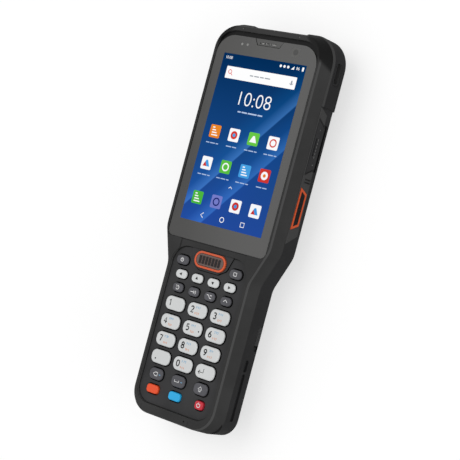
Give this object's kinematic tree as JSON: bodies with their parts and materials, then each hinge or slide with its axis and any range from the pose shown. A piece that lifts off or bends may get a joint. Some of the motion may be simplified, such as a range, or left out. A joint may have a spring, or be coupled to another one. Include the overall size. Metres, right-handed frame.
{
  "type": "portable data terminal",
  "caption": "Rugged hand-held barcode data terminal with a tall touch screen in the head, a keypad on the narrower handle, side scan triggers and a removable battery.",
  "frame": {"origin": "middle of the length and width, on the plane that the back rests on", "axes": "+X to the right when looking at the screen, +Y towards the scanner end, +Z out of the screen"},
  "size_m": [0.0738, 0.2022, 0.0299],
  "materials": {
    "housing_plastic": "fine moulded grain",
    "rear_plastic": "fine moulded grain",
    "bumper_rubber": "soft-touch",
    "cover_rubber": "soft-touch",
    "seal_rubber": "smooth",
    "screen_glass": "polished",
    "window_glass": "polished",
    "display_panel": "lit panel",
    "grille_plastic": "satin",
    "plate_plastic": "satin",
    "key_dark": "satin",
    "key_light": "satin",
    "key_orange": "satin",
    "key_blue": "satin",
    "key_red": "satin",
    "ring_orange": "semi-gloss",
    "silicone": "smooth",
    "board_green": "solder mask",
    "steel": "brushed",
    "contact_brass": "plated",
    "battery_plastic": "fine moulded grain",
    "engine_plastic": "satin",
    "camera_plastic": "gloss"
  },
  "bodies": {
    "terminal": {"front_housing": "housing_plastic", "rear_housing": "rear_plastic", "housing_seal": "seal_rubber", "touch_glass": "screen_glass", "glass_gasket": "seal_rubber", "earpiece_grille": "grille_plastic", "display_module": "display_panel", "front_camera": "camera_plastic", "keypad_plate": "plate_plastic", "scan_key_ring": "ring_orange", "keypad_membrane": "silicone", "keypad_board": "board_green", "corner_bumper_right": "bumper_rubber", "corner_bumper_left": "bumper_rubber", "scan_window": "window_glass", "scan_engine": "engine_plastic", "main_board": "board_green", "port_socket": "steel", "dock_contacts": "contact_brass", "rear_camera": "camera_plastic", "speaker": "engine_plastic", "housing_screws": "steel"},
    "key_programme_left": {"key_programme_left": "key_dark"},
    "key_programme_right": {"key_programme_right": "key_dark"},
    "key_arrow_left": {"key_arrow_left": "key_light"},
    "key_arrow_up": {"key_arrow_up": "key_light"},
    "key_arrow_down": {"key_arrow_down": "key_light"},
    "key_arrow_right": {"key_arrow_right": "key_light"},
    "key_control_one": {"key_control_one": "key_dark"},
    "key_control_two": {"key_control_two": "key_dark"},
    "key_control_three": {"key_control_three": "key_dark"},
    "key_control_four": {"key_control_four": "key_dark"},
    "key_1": {"key_1": "key_light"},
    "key_2": {"key_2": "key_light"},
    "key_3": {"key_3": "key_light"},
    "key_4": {"key_4": "key_light"},
    "key_5": {"key_5": "key_light"},
    "key_6": {"key_6": "key_light"},
    "key_7": {"key_7": "key_light"},
    "key_8": {"key_8": "key_light"},
    "key_9": {"key_9": "key_light"},
    "key_point": {"key_point": "key_light"},
    "key_0": {"key_0": "key_light"},
    "key_enter": {"key_enter": "key_light"},
    "key_erase": {"key_erase": "key_dark"},
    "key_space": {"key_space": "key_dark"},
    "key_shift": {"key_shift": "key_dark"},
    "key_orange": {"key_orange": "key_orange"},
    "key_blue": {"key_blue": "key_blue"},
    "key_power": {"key_power": "key_red"},
    "key_scan": {"key_scan": "key_dark"},
    "trigger_right": {"trigger_right": "ring_orange", "trigger_pad_right": "cover_rubber"},
    "trigger_left": {"trigger_left": "ring_orange", "trigger_pad_left": "cover_rubber"},
    "battery_latch_right": {"battery_latch_right": "rear_plastic"},
    "battery_latch_left": {"battery_latch_left": "rear_plastic"},
    "battery_pack": {"battery_pack": "battery_plastic"},
    "port_cover": {"port_cover": "cover_rubber"}
  },
  "joints": [
    {"name": "open_port_cover", "type": "hinge", "parent": "terminal", "child": "port_cover", "pos_m": [0.0352, 0.0473, 0.0156], "axis": [0, 1, 0], "range_deg": [0, 90]},
    {"name": "lift_battery", "type": "slide", "parent": "terminal", "child": "battery_pack", "axis": [0, 0, -1], "range_m": [0, 0.03]},
    {"name": "slide_latch_right", "type": "slide", "parent": "terminal", "child": "battery_latch_right", "axis": [0, -1, 0], "range_m": [0, 0.0026], "stiffness_N_per_m": 400, "springref_m": -0.001},
    {"name": "slide_latch_left", "type": "slide", "parent": "terminal", "child": "battery_latch_left", "axis": [0, -1, 0], "range_m": [0, 0.0026], "stiffness_N_per_m": 400, "springref_m": -0.001},
    {"name": "press_trigger_right", "type": "slide", "parent": "terminal", "child": "trigger_right", "axis": [-1, 0, 0], "range_m": [0, 0.0007], "stiffness_N_per_m": 2500, "springref_m": -0.0003},
    {"name": "press_trigger_left", "type": "slide", "parent": "terminal", "child": "trigger_left", "axis": [1, 0, 0], "range_m": [0, 0.0007], "stiffness_N_per_m": 2500, "springref_m": -0.0003},
    {"name": "press_key_scan", "type": "slide", "parent": "terminal", "child": "key_scan", "axis": [0, 0, -1], "range_m": [0, 0.0006], "stiffness_N_per_m": 1600, "springref_m": -0.0003},
    {"name": "press_key_5", "type": "slide", "parent": "terminal", "child": "key_5", "axis": [0, 0, -1], "range_m": [0, 0.0006], "stiffness_N_per_m": 1600, "springref_m": -0.0003},
    {"name": "press_key_programme_left", "type": "slide", "parent": "terminal", "child": "key_programme_left", "axis": [0, 0, -1], "range_m": [0, 0.0006], "stiffness_N_per_m": 1600, "springref_m": -0.0003},
    {"name": "press_key_programme_right", "type": "slide", "parent": "terminal", "child": "key_programme_right", "axis": [0, 0, -1], "range_m": [0, 0.0006], "stiffness_N_per_m": 1600, "springref_m": -0.0003},
    {"name": "press_key_arrow_left", "type": "slide", "parent": "terminal", "child": "key_arrow_left", "axis": [0, 0, -1], "range_m": [0, 0.0006], "stiffness_N_per_m": 1600, "springref_m": -0.0003},
    {"name": "press_key_arrow_up", "type": "slide", "parent": "terminal", "child": "key_arrow_up", "axis": [0, 0, -1], "range_m": [0, 0.0006], "stiffness_N_per_m": 1600, "springref_m": -0.0003},
    {"name": "press_key_arrow_down", "type": "slide", "parent": "terminal", "child": "key_arrow_down", "axis": [0, 0, -1], "range_m": [0, 0.0006], "stiffness_N_per_m": 1600, "springref_m": -0.0003},
    {"name": "press_key_arrow_right", "type": "slide", "parent": "terminal", "child": "key_arrow_right", "axis": [0, 0, -1], "range_m": [0, 0.0006], "stiffness_N_per_m": 1600, "springref_m": -0.0003},
    {"name": "press_key_control_one", "type": "slide", "parent": "terminal", "child": "key_control_one", "axis": [0, 0, -1], "range_m": [0, 0.0006], "stiffness_N_per_m": 1600, "springref_m": -0.0003},
    {"name": "press_key_control_two", "type": "slide", "parent": "terminal", "child": "key_control_two", "axis": [0, 0, -1], "range_m": [0, 0.0006], "stiffness_N_per_m": 1600, "springref_m": -0.0003},
    {"name": "press_key_control_three", "type": "slide", "parent": "terminal", "child": "key_control_three", "axis": [0, 0, -1], "range_m": [0, 0.0006], "stiffness_N_per_m": 1600, "springref_m": -0.0003},
    {"name": "press_key_control_four", "type": "slide", "parent": "terminal", "child": "key_control_four", "axis": [0, 0, -1], "range_m": [0, 0.0006], "stiffness_N_per_m": 1600, "springref_m": -0.0003},
    {"name": "press_key_1", "type": "slide", "parent": "terminal", "child": "key_1", "axis": [0, 0, -1], "range_m": [0, 0.0006], "stiffness_N_per_m": 1600, "springref_m": -0.0003},
    {"name": "press_key_2", "type": "slide", "parent": "terminal", "child": "key_2", "axis": [0, 0, -1], "range_m": [0, 0.0006], "stiffness_N_per_m": 1600, "springref_m": -0.0003},
    {"name": "press_key_3", "type": "slide", "parent": "terminal", "child": "key_3", "axis": [0, 0, -1], "range_m": [0, 0.0006], "stiffness_N_per_m": 1600, "springref_m": -0.0003},
    {"name": "press_key_4", "type": "slide", "parent": "terminal", "child": "key_4", "axis": [0, 0, -1], "range_m": [0, 0.0006], "stiffness_N_per_m": 1600, "springref_m": -0.0003},
    {"name": "press_key_6", "type": "slide", "parent": "terminal", "child": "key_6", "axis": [0, 0, -1], "range_m": [0, 0.0006], "stiffness_N_per_m": 1600, "springref_m": -0.0003},
    {"name": "press_key_7", "type": "slide", "parent": "terminal", "child": "key_7", "axis": [0, 0, -1], "range_m": [0, 0.0006], "stiffness_N_per_m": 1600, "springref_m": -0.0003},
    {"name": "press_key_8", "type": "slide", "parent": "terminal", "child": "key_8", "axis": [0, 0, -1], "range_m": [0, 0.0006], "stiffness_N_per_m": 1600, "springref_m": -0.0003},
    {"name": "press_key_9", "type": "slide", "parent": "terminal", "child": "key_9", "axis": [0, 0, -1], "range_m": [0, 0.0006], "stiffness_N_per_m": 1600, "springref_m": -0.0003},
    {"name": "press_key_point", "type": "slide", "parent": "terminal", "child": "key_point", "axis": [0, 0, -1], "range_m": [0, 0.0006], "stiffness_N_per_m": 1600, "springref_m": -0.0003},
    {"name": "press_key_0", "type": "slide", "parent": "terminal", "child": "key_0", "axis": [0, 0, -1], "range_m": [0, 0.0006], "stiffness_N_per_m": 1600, "springref_m": -0.0003},
    {"name": "press_key_enter", "type": "slide", "parent": "terminal", "child": "key_enter", "axis": [0, 0, -1], "range_m": [0, 0.0006], "stiffness_N_per_m": 1600, "springref_m": -0.0003},
    {"name": "press_key_erase", "type": "slide", "parent": "terminal", "child": "key_erase", "axis": [0, 0, -1], "range_m": [0, 0.0006], "stiffness_N_per_m": 1600, "springref_m": -0.0003},
    {"name": "press_key_space", "type": "slide", "parent": "terminal", "child": "key_space", "axis": [0, 0, -1], "range_m": [0, 0.0006], "stiffness_N_per_m": 1600, "springref_m": -0.0003},
    {"name": "press_key_shift", "type": "slide", "parent": "terminal", "child": "key_shift", "axis": [0, 0, -1], "range_m": [0, 0.0006], "stiffness_N_per_m": 1600, "springref_m": -0.0003},
    {"name": "press_key_orange", "type": "slide", "parent": "terminal", "child": "key_orange", "axis": [0, 0, -1], "range_m": [0, 0.0006], "stiffness_N_per_m": 1600, "springref_m": -0.0003},
    {"name": "press_key_blue", "type": "slide", "parent": "terminal", "child": "key_blue", "axis": [0, 0, -1], "range_m": [0, 0.0006], "stiffness_N_per_m": 1600, "springref_m": -0.0003},
    {"name": "press_key_power", "type": "slide", "parent": "terminal", "child": "key_power", "axis": [0, 0, -1], "range_m": [0, 0.0006], "stiffness_N_per_m": 1600, "springref_m": -0.0003}
  ]
}
